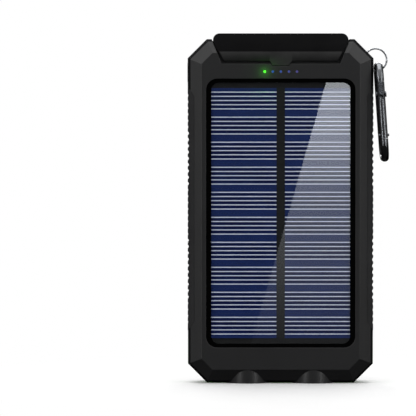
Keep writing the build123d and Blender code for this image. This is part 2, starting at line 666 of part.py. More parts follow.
with BuildPart() as socket_tongues:
    for x in (-USB_X, USB_X):
        back = USB_MOUTH - USB_DEEP + 2 * USB_WALL
        add_box(
            (x - BLOCK_W / 2, x + BLOCK_W / 2),
            (USB_Y - BLOCK_H / 2, USB_Y + BLOCK_H / 2),
            (back, back + BLOCK_T),
        )
        add_box(
            (x - TONGUE_HALF, x + TONGUE_HALF),
            (USB_Y + TONGUE_LOW, USB_Y + TONGUE_HIGH),
            (back, USB_MOUTH - 1),
        )
    micro_back = USB_MOUTH - MICRO_DEEP + 2 * MICRO_WALL
    add_box(
        (-MICRO_TONGUE_HALF, MICRO_TONGUE_HALF),
        (PCB_FRONT - 2 * MICRO_TONGUE_T, PCB_FRONT - MICRO_TONGUE_T),
        (micro_back, USB_MOUTH - 0.8),
    )
finish(socket_tongues.part, "socket_tongues")

with BuildPart() as controller_chips:
    for x, z, size in CHIPS:
        add_box(
            (x - size / 2, x + size / 2), (PCB_FRONT - CHIP_T, PCB_FRONT), (z - size / 2, z + size / 2)
        )
finish(controller_chips.part, "controller_chips")

with BuildPart() as power_inductor:
    with BuildSketch(Plane.XZ.offset(-PCB_FRONT)) as coil:
        with Locations((INDUCTOR_X, INDUCTOR_Z)):
            RectangleRounded(INDUCTOR_W, INDUCTOR_W, INDUCTOR_W / 5)
    extrude(coil.sketch, amount=INDUCTOR_T)
finish(power_inductor.part, "power_inductor")

with BuildPart() as board_capacitors:
    for i in range(8):
        x = SMALL_CAP_X + SMALL_CAP_PITCH * i
        add_box(
            (x - SMALL_CAP_H, x + SMALL_CAP_H),
            (PCB_FRONT - SMALL_CAP_H, PCB_FRONT),
            (SMALL_CAP_Z, SMALL_CAP_Z + SMALL_CAP_H),
        )
    for x in LARGE_CAP_XS:
        add_box(
            (x - LARGE_CAP_HALF, x + LARGE_CAP_HALF),
            (PCB_FRONT - LARGE_CAP_H, PCB_FRONT),
            (LARGE_CAP_Z, LARGE_CAP_Z + 1.5 * LARGE_CAP_HALF),
        )
finish(board_capacitors.part, "board_capacitors")

with BuildPart() as board_screws:
    for x in (-POST_X, POST_X):
        for z in (POST_LOW_Z, POST_HIGH_Z):
            head = PCB_FRONT - SCREW_HEAD_T
            add_rod((x, PCB_FRONT, z), (x, PCB_FRONT + SCREW_L, z), PILOT_R)
            add_rod((x, head, z), (x, PCB_FRONT, z), 2 * PILOT_R)
            add_box(
                (x - PILOT_R - 0.2, x + PILOT_R + 0.2),
                (head, head + SCREW_SLOT_DEEP),
                (z - PILOT_R / 4, z + PILOT_R / 4),
                mode=Mode.SUBTRACT,
            )
finish(board_screws.part, "board_screws")

# ------------------------------------------------------------------ power button
with BuildPart() as power_button:
    front_x = -BODY_W / 2 - BUTTON_PROUD
    back_x = -BODY_W / 2 + BAND_DEEP + 0.1
    flange_x = back_x + BUTTON_RIM_T
    extrude(stadium_at(back_x, BUTTON_L, BUTTON_W), amount=back_x - front_x)
    flange = stadium_at(flange_x, BUTTON_L + 2 * BUTTON_RIM, BUTTON_W + 2 * BUTTON_RIM)
    extrude(flange, amount=BUTTON_RIM_T)
    add_rod((flange_x, 0, BUTTON_Z), (SWITCH_X - PLUNGER_TIP, 0, BUTTON_Z), PLUNGER_R)
finish(power_button.part, "power_button")

with BuildPart() as tact_switch:
    switch_face = SWITCH_X + SWITCH_CAP_T
    add_box(
        (switch_face, -PCB_HALF + 0.5),
        (SWITCH_FRONT, PCB_FRONT),
        (BUTTON_Z - SWITCH_HALF, BUTTON_Z + SWITCH_HALF),
    )
    add_rod((SWITCH_X, 0, BUTTON_Z), (switch_face, 0, BUTTON_Z), SWITCH_CAP_R)
finish(tact_switch.part, "tact_switch")

# ------------------------------------------------------------------ battery
pack_mid_z = PACK_LOW + CELL_PACK_L / 2


def pouch_cell(label, y):
    """Flat pouch cell with rounded long edges and a folded terrace at its top."""
    with BuildPart() as cell:
        with Locations((0, y, pack_mid_z)):
            Box(CELL_PACK_W, CELL_PACK_T, CELL_PACK_L)
        fillet(cell.edges().filter_by(Axis.Z), 1.6)
        add_box(
            (-TERRACE_HALF, TERRACE_HALF),
            (y - TERRACE_THIN, y + TERRACE_THIN),
            (pack_mid_z, PACK_LOW + CELL_PACK_L + TERRACE_H),
        )
    finish(cell.part, label)


pouch_cell("battery_cell_front", PACK_FRONT_Y)
pouch_cell("battery_cell_rear", PACK_REAR_Y)

with BuildPart() as foam_pads:
    add_box(
        (-FRONT_PAD_HALF, FRONT_PAD_HALF),
        (PACK_FRONT_Y + CELL_PACK_T / 2, PACK_REAR_Y - CELL_PACK_T / 2),
        (FRONT_PAD_LOW, FRONT_PAD_HIGH),
    )
    add_box(
        (-REAR_PAD_HALF, REAR_PAD_HALF),
        (PACK_REAR_Y + CELL_PACK_T / 2, DEEP_REAR),
        (REAR_PAD_LOW, REAR_PAD_HIGH),
    )
finish(foam_pads.part, "foam_pads")

guard_low = PACK_LOW + CELL_PACK_L + TERRACE_H
guard_top = guard_low + GUARD_H
with BuildPart() as protection_board:
    add_box((-GUARD_HALF, GUARD_HALF), (-GUARD_THIN, GUARD_THIN), (guard_low, guard_top))
    for x in (-8, 4):
        add_box((x - 2, x + 2), (-1.3, -GUARD_THIN), (guard_low + 0.6, guard_top - 0.6))
finish(protection_board.part, "protection_board")

# ------------------------------------------------------------------ wiring
with BuildPart() as battery_wires:
    for x in BATTERY_WIRE_XS:
        add_wire([(x, 0, guard_top), (x, 0, guard_top + 4), (x, PCB_FRONT, guard_top + 4)], 1.2)
finish(battery_wires.part, "battery_wires")

with BuildPart() as solar_wires:
    for x in SOLAR_WIRE_XS:
        add_wire(
            [
                (x, -panel_back, WIRE_HOLE_Z), (x, SOLAR_WIRE_Y, WIRE_HOLE_Z),
                (x, SOLAR_WIRE_Y, SOLAR_WIRE_FOOT), (x, PCB_FRONT, SOLAR_WIRE_FOOT),
            ],
            [1.5, 1.5],
        )
finish(solar_wires.part, "solar_wires")

with BuildPart() as torch_wires:
    low_z = TORCH_BOARD_Z + PCB_T
    for y, z in TORCH_WIRE_ROUTES:
        add_wire(
            [
                (TORCH_WIRE_X, y, low_z), (TORCH_WIRE_X, y, low_z + 2.2),
                (TORCH_WIRE_OUT, y, low_z + 2.2), (TORCH_WIRE_OUT, y, z),
                (TORCH_WIRE_IN, y, z), (TORCH_WIRE_IN, PCB_FRONT, z),
            ],
            [1.0, 1.4, 1.4, 1.0],
        )
finish(torch_wires.part, "torch_wires")

# ------------------------------------------------------------------ torch
with BuildPart() as torch_board:
    add_box(
        (-TORCH_BOARD_HALF_X, TORCH_BOARD_HALF_X),
        (-TORCH_BOARD_HALF_Y, TORCH_BOARD_HALF_Y),
        (TORCH_BOARD_Z, TORCH_BOARD_Z + PCB_T),
    )
finish(torch_board.part, "torch_board")

with BuildPart() as torch_emitters:
    for x in TORCH_X:
        add_box(
            (x - EMITTER_HALF, x + EMITTER_HALF),
            (-EMITTER_HALF, EMITTER_HALF),
            (TORCH_BOARD_Z - EMITTER_T, TORCH_BOARD_Z),
        )
        with Locations((x, 0, TORCH_BOARD_Z - EMITTER_T)):
            Sphere(DOME_R, arc_size1=-90, arc_size2=0)
finish(torch_emitters.part, "torch_emitters")

flange_z = REFLECTOR_RIM + REFLECTOR_FLANGE
for side_name, x in (("left", -BOSS_X), ("right", BOSS_X)):
    boss_axis = Axis((x, 0, 0), (0, 0, 1))
    with BuildPart() as reflector:
        with BuildSketch(Plane(origin=(x, 0, 0), x_dir=(1, 0, 0), z_dir=(0, -1, 0))) as bowl:
            with BuildLine():
                ThreePointArc(
                    (BOWL_MOUTH, REFLECTOR_RIM), (BOWL_WAIST, WAIST_Z), (BOWL_NECK, TORCH_BOARD_Z)
                )
                Line((BOWL_NECK, TORCH_BOARD_Z), (NECK_OUT, TORCH_BOARD_Z))
                ThreePointArc(
                    (NECK_OUT, TORCH_BOARD_Z), (WAIST_OUT, WAIST_OUT_Z), (MOUTH_OUT, flange_z)
                )
                Polyline(
                    (MOUTH_OUT, flange_z), (FLANGE_OUT, flange_z), (FLANGE_OUT, REFLECTOR_RIM),
                    (BOWL_MOUTH, REFLECTOR_RIM),
                )
            make_face()
        revolve(bowl.sketch, axis=boss_axis)
    finish(reflector.part, f"reflector_{side_name}")

    with BuildPart() as lens:
        with BuildSketch(Plane(origin=(x, 0, 0), x_dir=(1, 0, 0), z_dir=(0, -1, 0))) as dome:
            with BuildLine():
                Polyline((0, LENS_TIP), (0, LENS_BACK), (LENS_R, LENS_BACK), (LENS_R, LENS_RIM))
                TangentArc((0, LENS_TIP), (LENS_R, LENS_RIM), tangent=(1, 0))
            make_face()
        revolve(dome.sketch, axis=boss_axis)
    finish(lens.part, f"lens_{side_name}")

with BuildPart() as lens_seals:
    for x in TORCH_X:
        add_rod((x, 0, LENS_BACK), (x, 0, REFLECTOR_RIM), LENS_R)
        add_rod((x, 0, LENS_BACK), (x, 0, REFLECTOR_RIM), LENS_R - SEAL_W, mode=Mode.SUBTRACT)
finish(lens_seals.part, "lens_seals")

# ------------------------------------------------------------------ lanyard post and split ring
with BuildPart() as lanyard_post:
    add_rod((post_x, -POST_PIN_L / 2, post_z), (post_x, POST_PIN_L / 2, post_z), POST_PIN_R)
finish(lanyard_post.part, "lanyard_post")

with BuildPart() as split_ring:
    with BuildSketch(Plane.XY.offset(RING_Z)) as wire:
        with Locations((RING_X + RING_R, 0)):
            RectangleRounded(WIRE_W, WIRE_T, WIRE_W / 2 - 0.05)
    revolve(wire.sketch, axis=Axis((RING_X, 0, RING_Z), (0, 1, 0)))
finish(split_ring.part, "split_ring")

# ------------------------------------------------------------------ carabiner
lean = math.radians(LEAN)
loop_normal = (math.cos(lean), 0, math.sin(lean))
LOOP = Plane(origin=(HANG_X, 0, HANG_Z), x_dir=(0, 1, 0), z_dir=loop_normal)


def loop_point(across, up, out=0.0):
    """Point of the carabiner: across its width, up its length, out of its plane."""
    return tuple(LOOP.from_local_coords(Vector(across, up, out)))


def add_loop_rod(across, up, half_length, radius, mode=Mode.ADD):
    """Rod through the loop's plane."""
    add_rod(loop_point(across, up, -half_length), loop_point(across, up, half_length), radius, mode)


head_radius = GATE_TOP - GATE_PIVOT
bar_end = GATE_TOP - 0.4
nose_end = GATE_NOSE - GATE_GAP

with BuildPart() as carabiner_body:
    with BuildLine(LOOP) as loop_line:
        FilletPolyline(
            (-BAR_SIDE, bar_end), (-BAR_SIDE, BAR_TOP), (BAR_SIDE, BAR_TOP),
            (BAR_SIDE, BAR_BOTTOM), (-BAR_SIDE, BAR_BOTTOM), (-BAR_SIDE, nose_end),
            radius=[LOOP_TOP_R, LOOP_TOP_R, LOOP_FOOT_R, LOOP_FOOT_R],
        )
    bar_plane = Plane(origin=loop_line.line @ 0, x_dir=loop_normal, z_dir=loop_line.line % 0)
    with BuildSketch(bar_plane) as bar:
        Ellipse(BAR_A, BAR_B)
    sweep(bar.sketch, path=loop_line.line)
    # hollow end that the gate's round head turns in
    add_loop_rod(-BAR_SIDE, GATE_PIVOT, 2 * BAR_A, head_radius + GATE_GAP, mode=Mode.SUBTRACT)
    with BuildSketch(LOOP.offset(-TANG_T / 2)) as tang:
        with Locations((-BAR_SIDE, (bar_end + TANG_ROOT + GATE_PIVOT) / 2)):
            Rectangle(2 * TANG_HALF, bar_end + TANG_ROOT - GATE_PIVOT)
        with Locations((-BAR_SIDE, GATE_PIVOT)):
            Circle(TANG_HALF)
    extrude(tang.sketch, amount=TANG_T)
    add_loop_rod(-BAR_SIDE, GATE_PIVOT, 2 * BAR_A, RIVET_R, mode=Mode.SUBTRACT)
finish(carabiner_body.part, "carabiner_body")


def add_gate_bar(low_up, high_up):
    """Stretch of the gate's bar between two levels."""
    foot = Plane(origin=loop_point(-BAR_SIDE, low_up), x_dir=loop_normal, z_dir=LOOP.y_dir)
    with BuildSketch(foot) as section:
        Ellipse(BAR_A, BAR_B)
    extrude(section.sketch, amount=high_up - low_up)


with BuildPart() as gate_head:
    add_gate_bar(GATE_PIVOT, GATE_TOP)
    add_loop_rod(-BAR_SIDE, GATE_PIVOT, 2 * BAR_A, head_radius, mode=Mode.INTERSECT)

with BuildPart() as carabiner_gate:
    add_gate_bar(GATE_NOSE, GATE_PIVOT)
    add(gate_head.part)
    slot_low = GATE_PIVOT - SLOT_DROP
    with BuildSketch(LOOP.offset(-TANG_T / 2 - TANG_GAP)) as slot:
        with Locations((-BAR_SIDE, (slot_low + GATE_TOP) / 2 + 1)):
            Rectangle(4 * BAR_B, GATE_TOP - slot_low + 2)
    extrude(slot.sketch, amount=TANG_T + 2 * TANG_GAP, mode=Mode.SUBTRACT)
    add_loop_rod(-BAR_SIDE, GATE_PIVOT, 2 * BAR_A, RIVET_R + RIVET_PLAY, mode=Mode.SUBTRACT)
    add_loop_rod(-BAR_SIDE, GATE_NOSE + PIN_RISE, BAR_A + RIVET_PROUD, PIN_R)
    spring_low = loop_point(-BAR_SIDE, GATE_PIVOT - SPRING_FOOT)
    bore_high = loop_point(-BAR_SIDE, GATE_PIVOT - SPRING_BORE_HEAD)
    add_rod(spring_low, bore_high, SPRING_BORE_R, mode=Mode.SUBTRACT)
finish(carabiner_gate.part, "carabiner_gate")

with BuildPart() as gate_rivet:
    add_loop_rod(-BAR_SIDE, GATE_PIVOT, BAR_A + RIVET_PROUD, RIVET_R)
    for out in (-1, 1):
        start = loop_point(-BAR_SIDE, GATE_PIVOT, out * (BAR_A + RIVET_PLAY))
        end = loop_point(-BAR_SIDE, GATE_PIVOT, out * (BAR_A + RIVET_PROUD))
        add_rod(start, end, RIVET_HEAD_R)
finish(gate_rivet.part, "gate_rivet")

with BuildPart() as gate_spring:
    spring_high = loop_point(-BAR_SIDE, GATE_PIVOT - SPRING_HEAD)
    add_rod(spring_low, spring_high, SPRING_R)
    add_rod(spring_low, spring_high, SPRING_INNER_R, mode=Mode.SUBTRACT)
finish(gate_spring.part, "gate_spring")
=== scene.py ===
"""Looks for the solar phone charger: materials, fine pieces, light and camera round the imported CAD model."""

import math

import bmesh
import bpy
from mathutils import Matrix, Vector


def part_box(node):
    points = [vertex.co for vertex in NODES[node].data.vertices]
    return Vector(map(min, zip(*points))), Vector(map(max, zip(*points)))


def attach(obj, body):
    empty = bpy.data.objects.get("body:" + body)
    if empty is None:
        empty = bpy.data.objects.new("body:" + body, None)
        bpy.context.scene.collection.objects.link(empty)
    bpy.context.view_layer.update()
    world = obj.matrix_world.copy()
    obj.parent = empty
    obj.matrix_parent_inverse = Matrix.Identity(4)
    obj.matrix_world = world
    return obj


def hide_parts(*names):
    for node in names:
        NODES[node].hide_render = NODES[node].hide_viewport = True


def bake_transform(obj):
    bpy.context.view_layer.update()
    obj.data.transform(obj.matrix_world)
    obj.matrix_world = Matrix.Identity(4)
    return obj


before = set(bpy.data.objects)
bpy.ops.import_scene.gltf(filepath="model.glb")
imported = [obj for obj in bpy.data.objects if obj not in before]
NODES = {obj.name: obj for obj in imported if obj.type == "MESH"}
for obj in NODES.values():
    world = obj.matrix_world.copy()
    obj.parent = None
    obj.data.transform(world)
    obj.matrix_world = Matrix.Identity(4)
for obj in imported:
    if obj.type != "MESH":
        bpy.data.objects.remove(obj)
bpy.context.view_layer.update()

MM = 0.001
OUT = Vector((0, -1, 0))          # out of the solar panel's face


# ------------------------------------------------------------------ places read from the frame
def low(node):
    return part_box(node)[0]


def high(node):
    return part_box(node)[1]


def middle(node):
    return (low(node) + high(node)) / 2


FACE_Y = low("front_shell").y                     # front face of the body
REAR_Y = high("rear_shell").y                     # rear face of the body
CELL_FACE = low("solar_cells").y                  # front of the silicon strips
PANEL_MID = middle("panel_window")
PANEL_SIZE = high("panel_window") - low("panel_window")
CELL_LOW, CELL_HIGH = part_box("solar_cells")
CELL_ROWS = 10
STRIP_LENGTH = 26.3 * MM
STRIP_PITCH = 10.09 * MM
STRIP_HEIGHT = (CELL_HIGH.z - CELL_LOW.z) - (CELL_ROWS - 1) * STRIP_PITCH
COVER_BREAK = 134.0 * MM          # where the port cover's front strip turns into its slope
COVER_STRIP_HALF = 22.1 * MM      # half width of its front strip, at the foot of its tab
COVER_STRIP_FLARE = 0.5           # half width that the strip gains with height
TAB_HALF = 4.4 * MM
SEAT_FOOT = 128.8 * MM            # foot of the slot round the port cover
SEAT_HALF_AT_FLOOR = -27.5 * MM   # half width of the slot, run down to z = 0
SEAT_FLARE = 0.4                  # half width that the slot gains with height


# ------------------------------------------------------------------ node materials
def linear(tone):
    """An sRGB tone written as six hex digits, as the linear colour that the nodes use."""
    levels = [int(tone[i:i + 2], 16) / 255 for i in (0, 2, 4)]
    return tuple(v / 12.92 if v <= 0.04045 else ((v + 0.055) / 1.055) ** 2.4 for v in levels) + (1.0,)


class Finish:
    """A Principled material being put together; coordinates are the object's own, in metres."""

    def __init__(self, name, **fixed):
        self.material = bpy.data.materials.new(name)
        self.material.use_nodes = True
        self.tree = self.material.node_tree
        self.shader = self.tree.nodes["Principled BSDF"]
        self.output = self.tree.nodes["Material Output"]
        self.place = self.add("ShaderNodeTexCoord").outputs["Object"]
        for socket, value in fixed.items():
            self.shader.inputs[socket.replace("_", " ")].default_value = value

    def add(self, kind, **settings):
        node = self.tree.nodes.new(kind)
        for key, value in settings.items():
            setattr(node, key, value)
        return node

    def join(self, source, target):
        self.tree.links.new(source, target)

    def feed(self, socket, source):
        self.join(source, self.shader.inputs[socket])
        return self

    def stretched(self, stretch):
        """The coordinates scaled by a factor along each axis."""
        mapping = self.add("ShaderNodeMapping")
        mapping.inputs["Scale"].default_value = stretch
        self.join(self.place, mapping.inputs["Vector"])
        return mapping.outputs["Vector"]

    def noise(self, size, detail=2.0, roughness=0.5, stretch=(1, 1, 1)):
        """Cloudy noise whose blotches are about size metres across."""
        node = self.add("ShaderNodeTexNoise")
        node.inputs["Scale"].default_value = 1 / size
        node.inputs["Detail"].default_value = detail
        node.inputs["Roughness"].default_value = roughness
        self.join(self.stretched(stretch), node.inputs["Vector"])
        return node.outputs["Fac"]

    def cells(self, size, feature="F1", stretch=(1, 1, 1)):
        """Distances in a cellular pattern whose cells are about size metres across."""
        node = self.add("ShaderNodeTexVoronoi", feature=feature)
        node.inputs["Scale"].default_value = 1 / size
        self.join(self.stretched(stretch), node.inputs["Vector"])
        return node.outputs["Distance"]

    def spread(self, source, low_to, high_to, low_from=0.3, high_from=0.7):
        """source remapped from one range to another, and held at its ends."""
        node = self.add("ShaderNodeMapRange")
        for socket, value in zip(("From Min", "From Max", "To Min", "To Max"),
                                 (low_from, high_from, low_to, high_to)):
            node.inputs[socket].default_value = value
        self.join(source, node.inputs["Value"])
        return node.outputs["Result"]

    def maths(self, operation, first, second=0.0):
        node = self.add("ShaderNodeMath", operation=operation)
        for socket, value in zip(node.inputs, (first, second)):
            if isinstance(value, (int, float)):
                socket.default_value = value
            else:
                self.join(value, socket)
        return node.outputs["Value"]

    def blend(self, share, first, second):
        """Mix of two colours, each a socket or a fixed colour."""
        node = self.add("ShaderNodeMix", data_type="RGBA")
        for socket, value in ((0, share), (6, first), (7, second)):
            if isinstance(value, (int, float, tuple)):
                node.inputs[socket].default_value = value
            else:
                self.join(value, node.inputs[socket])
        return node.outputs[2]

    def axis(self, letter):
        node = self.add("ShaderNodeSeparateXYZ")
        self.join(self.place, node.inputs["Vector"])
        return node.outputs[letter]

    def edges(self, radius):
        """0 on flat ground, rising to 1 on edges and corners within radius."""
        rounded = self.add("ShaderNodeBevel", samples=4)
        rounded.inputs["Radius"].default_value = radius
        ground = self.add("ShaderNodeNewGeometry")
        facing = self.add("ShaderNodeVectorMath", operation="DOT_PRODUCT")
        self.join(rounded.outputs["Normal"], facing.inputs[0])
        self.join(ground.outputs["Normal"], facing.inputs[1])
        return self.spread(facing.outputs["Value"], 1.0, 0.0, 0.86, 0.995)

    def relief(self, height, depth, after=None):
        """Bump of a depth in metres, laid over an earlier bump."""
        node = self.add("ShaderNodeBump")
        node.inputs["Strength"].default_value = 1.0
        node.inputs["Distance"].default_value = depth
        self.join(height, node.inputs["Height"])
        if after is not None:
            self.join(after, node.inputs["Normal"])
        return node.outputs["Normal"]


def cover_seat_shade(f):
    """Mask for painted shade: 1 inside the slot round the port cover, in the front shell, where the colour is
    painted near black as shade, and 0 elsewhere.
    """
    reach = f.maths("MULTIPLY", f.axis("Z"), -SEAT_FLARE)
    aside = f.maths("ADD", f.maths("ABSOLUTE", f.axis("X")), reach)
    share = f.spread(aside, 1.0, 0.0, SEAT_HALF_AT_FLOOR, SEAT_HALF_AT_FLOOR + 0.2 * MM)
    for letter, ends, places in (
        ("Z", (0.0, 1.0), (SEAT_FOOT, SEAT_FOOT + 0.13 * MM)),
        ("Y", (0.0, 1.0), (FACE_Y + 0.02 * MM, FACE_Y + 0.2 * MM)),
        ("Y", (1.0, 0.0), (-5 * MM, -4 * MM)),
    ):
        share = f.maths("MULTIPLY", share, f.spread(f.axis(letter), *ends, *places))
    return share


def moulded(name, dark, light, grain, depth, rough, wear="4a4a4a", wear_share=0.35, painted_shade=None, **fixed):
    """Moulded plastic or rubber: eroded grain, faint flow clouds and edges burnished by handling.
    An optional shade mask paints its places near black, as painted shade in recesses; a finish with it also
    leaves its upright side walls without gloss."""
    f = Finish(name, **fixed)
    clouds = f.noise(14 * MM, detail=3)
    colour = f.blend(f.spread(clouds, 0.0, 1.0), linear(dark), linear(light))
    if painted_shade:
        # Painted shade: the masked places turn near black (040404), standing in for the shade in the recess.
        colour = f.blend(painted_shade(f), colour, linear("040404"))
        upright = f.add("ShaderNodeSeparateXYZ")
        f.join(f.add("ShaderNodeNewGeometry").outputs["Normal"], upright.inputs["Vector"])
        f.feed("Specular IOR Level", f.spread(f.maths("ABSOLUTE", upright.outputs["Y"]), 0.0, 0.5, 0.5, 0.8))
    worn = f.maths("MULTIPLY", f.edges(0.35 * MM), f.spread(f.noise(1.6 * MM, detail=4), 0.2, wear_share))
    f.feed("Base Color", f.blend(worn, colour, linear(wear)))
    fine = f.noise(grain, detail=2)
    polish = f.maths("MULTIPLY", worn, 0.3)
    f.feed("Roughness", f.maths("SUBTRACT", f.spread(fine, rough[0], rough[1]), polish))
    pits = f.relief(f.cells(2.2 * grain), depth)
    f.feed("Normal", f.relief(fine, 0.6 * depth, pits))
    return f.material


def metal(name, dark, light, rough, brush=(1, 1, 1), size=0.5 * MM, depth=0.002 * MM, **fixed):
    """Metal with fine drawing marks along one axis and small stains."""
    f = Finish(name, Metallic=1.0, **fixed)
    marks = f.noise(size, detail=4, stretch=brush)
    stains = f.noise(3 * MM, detail=3)
    f.feed("Base Color", f.blend(f.spread(stains, 0.0, 1.0), linear(dark), linear(light)))
    f.feed("Roughness", f.spread(marks, rough[0], rough[1]))
    f.feed("Normal", f.relief(marks, depth))
    return f.material


def glowing(name, tone, strength, body="202020", core="ffffff"):
    """A lit light pipe or emitter, brightest in its middle grain."""
    f = Finish(name, Roughness=0.25, Base_Color=linear(body))
    ripple = f.noise(0.4 * MM, detail=1)
    f.feed("Emission Color", f.blend(f.spread(ripple, 0.0, 0.35), linear(tone), linear(core)))
    f.shader.inputs["Emission Strength"].default_value = strength
    return f.material


def idle_pipes(name):
    """The unlit light pipes: a dim glow that turns from blue to violet away from the lit one."""
    f = Finish(name, Roughness=0.25, Base_Color=linear("141626"))
    along = f.spread(f.axis("X"), 0.0, 1.0, -3.25 * MM, 6.5 * MM)
    ripple = f.noise(0.5 * MM, detail=1)
    tone = f.blend(along, linear("2f6fd0"), linear("5f58a8"))
    f.feed("Emission Color", f.blend(f.spread(ripple, 0.0, 0.3), tone, linear("20284a")))
    f.shader.inputs["Emission Strength"].default_value = 0.55
    return f.material


def clear_sheet(name, tint, rough, index=1.5, facing=None):
    """Thin clear sheet: it passes light unbent; its outer side mirrors more at a glancing angle.
    With facing set, only the polished face that looks that way mirrors, and the cut edges don't."""
    f = Finish(name)
    passed = f.add("ShaderNodeBsdfTransparent")
    passed.inputs["Color"].default_value = linear(tint)
    mirrored = f.add("ShaderNodeBsdfGlossy")
    haze = f.noise(2.5 * MM, detail=4)
    f.join(f.spread(haze, rough[0], rough[1]), mirrored.inputs["Roughness"])
    share = f.add("ShaderNodeFresnel")
    share.inputs["IOR"].default_value = index
    ground = f.add("ShaderNodeNewGeometry")
    mirror = f.maths("MULTIPLY", share.outputs["Fac"], f.maths("SUBTRACT", 1.0, ground.outputs["Backfacing"]))
    if facing:
        lined_up = f.add("ShaderNodeVectorMath", operation="DOT_PRODUCT")
        f.join(ground.outputs["Normal"], lined_up.inputs[0])
        lined_up.inputs[1].default_value = facing
        mirror = f.maths("MULTIPLY", mirror, f.spread(lined_up.outputs["Value"], 0.0, 1.0, 0.98, 0.995))
    mix = f.add("ShaderNodeMixShader")
    f.join(mirror, mix.inputs["Fac"])
    f.join(passed.outputs["BSDF"], mix.inputs[1])
    f.join(mirrored.outputs["BSDF"], mix.inputs[2])
    f.join(mix.outputs["Shader"], f.output.inputs["Surface"])
    f.tree.nodes.remove(f.shader)
    return f.material


def silicon(name):
    """Navy cell strips: darkest under the printed fingers, lighter towards each strip's long edges."""
    f = Finish(name, Roughness=0.3, Specular_IOR_Level=0.2)
    row = f.maths("DIVIDE", f.maths("SUBTRACT", f.axis("Z"), CELL_LOW.z - (STRIP_PITCH - STRIP_HEIGHT) / 2),
                  STRIP_PITCH)
    off_centre = f.maths("ABSOLUTE", f.maths("SUBTRACT", f.maths("FRACT", row), 0.5))
    shade = f.spread(off_centre, 0.0, 1.0, 0.26, 0.46)
    colour = f.blend(shade, linear("08123c"), linear("1e2f60"))
    grains = f.cells(2.8 * MM, feature="F2", stretch=(0.6, 1, 1.4))
    streaks = f.noise(4 * MM, detail=3, stretch=(0.25, 1, 1))
    bright = f.maths("MULTIPLY", f.spread(grains, 0.0, 0.42, 0.2, 1.2), f.spread(streaks, 0.2, 1.0))
    f.feed("Base Color", f.blend(bright, colour, linear("263a70")))
    return f.material


def port_rubber(name):
    """Soft cover: its upright front strip is frosted and paler; its sloping top is painted near black as
    shade, and the strip is painted darker towards its foot, leaving its top lighter like a highlight.
    """
    f = Finish(name, Specular_IOR_Level=0.05)
    brow = f.spread(f.axis("Z"), 1.0, 0.0, COVER_BREAK - 0.3 * MM, COVER_BREAK)
    front = f.spread(f.axis("Y"), 1.0, 0.0, FACE_Y + 0.15 * MM, FACE_Y + 0.6 * MM)
    reach = f.maths("MULTIPLY_ADD", f.axis("Z"), -COVER_STRIP_FLARE)
    reach.node.inputs[2].default_value = low("port_cover").z * COVER_STRIP_FLARE
    aside = f.maths("ADD", f.maths("ABSOLUTE", f.axis("X")), reach)
    ends = f.spread(aside, 1.0, 0.0, COVER_STRIP_HALF - 0.5 * MM, COVER_STRIP_HALF)
    # Painted shade and highlight: the strip darkens towards its foot and stays lighter at its top, except on
    # the pull tab.
    foot = f.maths("MAXIMUM", f.spread(f.axis("Z"), 0.3, 1.0, 130.0 * MM, 133.2 * MM),
                   f.spread(f.maths("ABSOLUTE", f.axis("X")), 1.0, 0.0, TAB_HALF, TAB_HALF + 0.5 * MM))
    strip = f.maths("MULTIPLY", f.maths("MULTIPLY", brow, front), f.maths("MULTIPLY", ends, foot))
    clouds = f.noise(9 * MM, detail=3)
    # Painted shade: the slope is painted near black, much darker than the same rubber in the strip.
    slope_shade = f.blend(f.spread(clouds, 0.0, 1.0), linear("070708"), linear("0b0b0c"))
    frosted = f.blend(f.spread(clouds, 0.0, 1.0), linear("2b2b2b"), linear("353535"))
    f.feed("Base Color", f.blend(strip, slope_shade, frosted))
    fine = f.noise(0.18 * MM)
    f.feed("Roughness", f.maths("ADD", f.spread(fine, 0.45, 0.55), f.maths("MULTIPLY", strip, 0.1)))
    f.feed("Normal", f.relief(fine, 0.003 * MM))
    return f.material


def board_resin(name, tone, trace):
    """Circuit board: solder mask over faint copper tracks."""
    f = Finish(name, Roughness=0.35, Coat_Weight=0.3)
    gaps = f.cells(1.8 * MM, feature="DISTANCE_TO_EDGE", stretch=(1, 1, 0.6))
    tracks = f.spread(gaps, 1.0, 0.0, 0.02, 0.06)
    f.feed("Base Color", f.blend(tracks, linear(tone), linear(trace)))
    f.feed("Normal", f.relief(tracks, 0.02 * MM))
    return f.material


def crinkled(name, tone, shine, size, depth, rough, metallic):
    """Foil or foam skin with wrinkles of one size."""
    f = Finish(name, Metallic=metallic)
    folds = f.noise(size, detail=5, roughness=0.6)
    f.feed("Base Color", f.blend(f.spread(folds, 0.0, 1.0), linear(tone), linear(shine)))
    f.feed("Roughness", f.spread(folds, rough[0], rough[1]))
    f.feed("Normal", f.relief(folds, depth))
    return f.material


